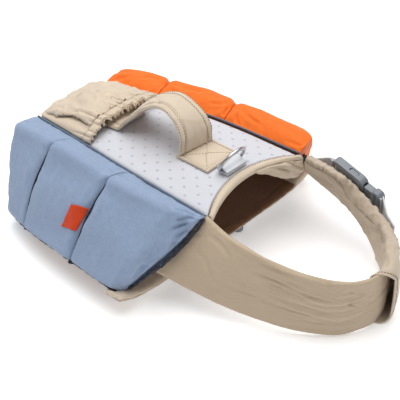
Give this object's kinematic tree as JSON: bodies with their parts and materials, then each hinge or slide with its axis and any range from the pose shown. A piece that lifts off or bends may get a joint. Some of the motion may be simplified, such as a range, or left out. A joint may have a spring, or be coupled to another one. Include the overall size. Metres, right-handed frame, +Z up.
{
  "type": "dog life jacket",
  "caption": "Dog life jacket with foam side floats, padded back panel, rear pocket, grab handle, lead ring, belly panel and a wrapped neck strap with side-release buckles.",
  "frame": {"origin": "on the surface that the jacket stands on, under the middle of its box", "axes": "+X to the dog's head, +Y to the dog's left, +Z up; the back seams run along X"},
  "size_m": [0.3541, 0.2562, 0.1222],
  "materials": {
    "grey_cloth": "matte padded cloth",
    "tan_lining": "matte woven lining",
    "blue_nylon": "semi-matte nylon",
    "orange_nylon": "semi-matte nylon",
    "slate_piping": "semi-matte",
    "orange_tag": "matte woven tape",
    "tan_cloth": "matte woven cloth",
    "grey_webbing": "matte webbing",
    "brown_lining": "matte lining",
    "dark_plastic": "satin moulded plastic",
    "steel": "polished steel wire"
  },
  "bodies": {
    "jacket": {"back_panel": "grey_cloth", "right_side_panel": "tan_lining", "left_side_panel": "tan_lining", "right_float_rear": "blue_nylon", "right_float_middle": "blue_nylon", "right_float_front": "blue_nylon", "left_float_rear": "orange_nylon", "left_float_middle": "orange_nylon", "left_float_front": "orange_nylon", "right_piping": "slate_piping", "left_piping": "slate_piping", "float_tag": "orange_tag", "pocket": "tan_cloth", "pocket_band": "tan_cloth", "handle_band": "tan_cloth", "handle_patch": "tan_cloth", "collar_binding": "tan_cloth", "ring_webbing": "grey_webbing", "right_neck_strap": "tan_cloth", "left_neck_sleeve": "tan_cloth", "shoulder_socket": "dark_plastic", "shoulder_plug": "dark_plastic", "shoulder_webbing_rear": "grey_webbing", "shoulder_webbing_front": "grey_webbing", "belly_panel": "brown_lining", "belly_strap_right": "grey_webbing", "belly_strap_left": "grey_webbing", "belly_socket": "dark_plastic", "belly_plug": "dark_plastic"},
    "lead_ring": {"lead_ring": "steel"}
  },
  "joints": [
    {"name": "lead_ring_hinge", "type": "hinge", "parent": "jacket", "child": "lead_ring", "pos_m": [0.018, 0, 0.0848], "axis": [0, 1, 0], "range_deg": [-86, 46]}
  ]
}
